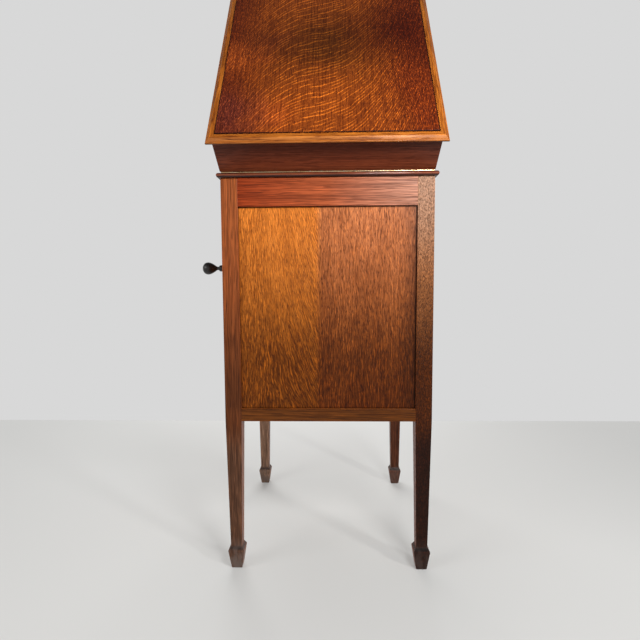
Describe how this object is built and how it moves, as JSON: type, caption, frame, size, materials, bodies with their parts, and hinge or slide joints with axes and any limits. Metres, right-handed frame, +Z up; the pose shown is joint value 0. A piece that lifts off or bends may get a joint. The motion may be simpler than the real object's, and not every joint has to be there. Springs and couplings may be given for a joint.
{
  "type": "cabinet gramophone",
  "caption": "Floor-standing acoustic gramophone in an oak cabinet on tapered legs, with a hinged lid, doors over the horn, winding crank, spring motor, turntable and tonearm.",
  "frame": {"origin": "on the floor under the plan centre of the case", "axes": "+X to the right when facing the doors, where the crank is; -Y towards the doors; +Z up"},
  "size_m": [0.542, 0.5535, 1.25],
  "materials": {
    "oak": "dark stained and polished",
    "oak_panel": "stained and polished",
    "oak_lid_field": "figured, stained and polished",
    "pine": "planed, unfinished",
    "ebonised_wood": "black polish",
    "brass": "worn satin",
    "nickel": "nickel plated",
    "steel": "turned",
    "cast_iron": "black japanned",
    "felt": "short napped cloth",
    "leather": "plain",
    "rubber": "matt",
    "mica": "clear sheet"
  },
  "bodies": {
    "cabinet": {"front_left_post": "oak", "front_right_post": "oak", "back_left_post": "oak", "back_right_post": "oak", "back_rails": "oak", "side_rails": "oak", "front_rails": "oak", "back_panel": "oak_panel", "side_panels": "oak_panel", "top_rim": "oak", "case_brasswork": "brass", "hinge_pins": "steel", "bottom_board": "pine", "louvres": "oak", "horn_boards": "pine", "horn_elbow": "cast_iron", "motor_board": "oak", "board_bearers": "pine", "needle_cups": "nickel", "motor_frame": "cast_iron", "motor_grommets": "rubber", "crank_escutcheon": "brass", "motor_bearings": "brass", "speed_dial": "brass", "lever_studs": "steel", "tonearm_base": "nickel", "deck_screws": "nickel", "arm_rest": "nickel"},
    "lid": {"lid_boards": "oak", "lid_moulding": "oak", "lid_field": "oak_lid_field", "lid_brasswork": "brass"},
    "left_door": {"left_door_frame": "oak", "left_door_panel": "oak_panel", "left_door_brasswork": "brass"},
    "right_door": {"right_door_frame": "oak", "right_door_panel": "oak_panel", "right_door_brasswork": "brass"},
    "turntable": {"spindle": "steel", "platter": "nickel", "platter_cloth": "felt"},
    "countershaft": {"countershaft": "steel"},
    "barrel": {"spring_barrel": "cast_iron", "mainspring": "steel"},
    "governor": {"governor_shaft": "steel", "governor_weights": "brass"},
    "crank": {"crank": "nickel"},
    "crank_knob": {"crank_knob": "ebonised_wood"},
    "winding_arbor": {"winding_arbor": "steel"},
    "tonearm": {"tonearm": "nickel"},
    "soundbox": {"gooseneck": "nickel", "soundbox_rubber": "rubber", "soundbox_case": "nickel", "diaphragm": "mica", "stylus_bar": "nickel", "needle": "steel"},
    "brake": {"brake_lever": "nickel", "brake_pad": "leather"},
    "speed_knob": {"speed_knob": "nickel"},
    "speed_lever": {"speed_lever": "steel"}
  },
  "joints": [
    {"name": "lid_hinge", "type": "hinge", "parent": "cabinet", "child": "lid", "pos_m": [0, 0.2285, 0.8157], "axis": [-1, 0, 0], "range_deg": [-57, 0]},
    {"name": "left_door_hinge", "type": "hinge", "parent": "cabinet", "child": "left_door", "pos_m": [-0.17625, -0.2306, 0.5], "axis": [0, 0, -1], "range_deg": [0, 110]},
    {"name": "right_door_hinge", "type": "hinge", "parent": "cabinet", "child": "right_door", "pos_m": [0.17625, -0.2306, 0.5], "axis": [0, 0, 1], "range_deg": [0, 110]},
    {"name": "turntable_spin", "type": "hinge", "parent": "cabinet", "child": "turntable", "pos_m": [0, -0.041, 0.8], "axis": [0, 0, 1], "continuous": true},
    {"name": "countershaft_spin", "type": "hinge", "parent": "cabinet", "child": "countershaft", "pos_m": [0.03156, -0.07308, 0.735], "axis": [0, 0, 1], "continuous": true},
    {"name": "barrel_spin", "type": "hinge", "parent": "cabinet", "child": "barrel", "pos_m": [0.075, -0.041, 0.747], "axis": [0, 0, 1], "continuous": true},
    {"name": "governor_spin", "type": "hinge", "parent": "cabinet", "child": "governor", "pos_m": [-0.027, -0.041, 0.736], "axis": [0, 1, 0], "continuous": true},
    {"name": "crank_turn", "type": "hinge", "parent": "cabinet", "child": "crank", "pos_m": [0.21, -0.041, 0.716], "axis": [1, 0, 0], "continuous": true},
    {"name": "crank_knob_spin", "type": "hinge", "parent": "crank", "child": "crank_knob", "pos_m": [0.29, -0.041, 0.6373], "axis": [1, 0, 0], "continuous": true},
    {"name": "winding_arbor_spin", "type": "hinge", "parent": "cabinet", "child": "winding_arbor", "pos_m": [0.075, -0.041, 0.716], "axis": [0, 0, 1], "continuous": true},
    {"name": "tonearm_swing", "type": "hinge", "parent": "cabinet", "child": "tonearm", "pos_m": [0, 0.15, 0.82], "axis": [0, 0, -1], "range_deg": [0, 38]},
    {"name": "gooseneck_turn", "type": "hinge", "parent": "tonearm", "child": "soundbox", "pos_m": [0.1111, 0.0632, 0.8738], "axis": [-0.6157, -0.788, 0], "range_deg": [0, 110]},
    {"name": "brake_pivot", "type": "hinge", "parent": "cabinet", "child": "brake", "pos_m": [0.14432, -0.10015, 0.8], "axis": [0, 0, 1], "range_deg": [0, 15]},
    {"name": "speed_turn", "type": "hinge", "parent": "cabinet", "child": "speed_knob", "pos_m": [-0.11, -0.15, 0.8], "axis": [0, 0, 1], "range_deg": [-80, 80]},
    {"name": "speed_lever_pivot", "type": "hinge", "parent": "cabinet", "child": "speed_lever", "pos_m": [-0.058, -0.104, 0.736], "axis": [0, 0, 1], "range_deg": [-2, 2]}
  ],
  "couplings": [
    {"joint": "countershaft_spin", "follows": "turntable_spin", "ratio": -0.25},
    {"joint": "barrel_spin", "follows": "turntable_spin", "ratio": 0.05},
    {"joint": "governor_spin", "follows": "turntable_spin", "ratio": 12},
    {"joint": "winding_arbor_spin", "follows": "crank_turn", "ratio": 0.5},
    {"joint": "speed_lever_pivot", "follows": "speed_turn", "ratio": 0.0203}
  ]
}
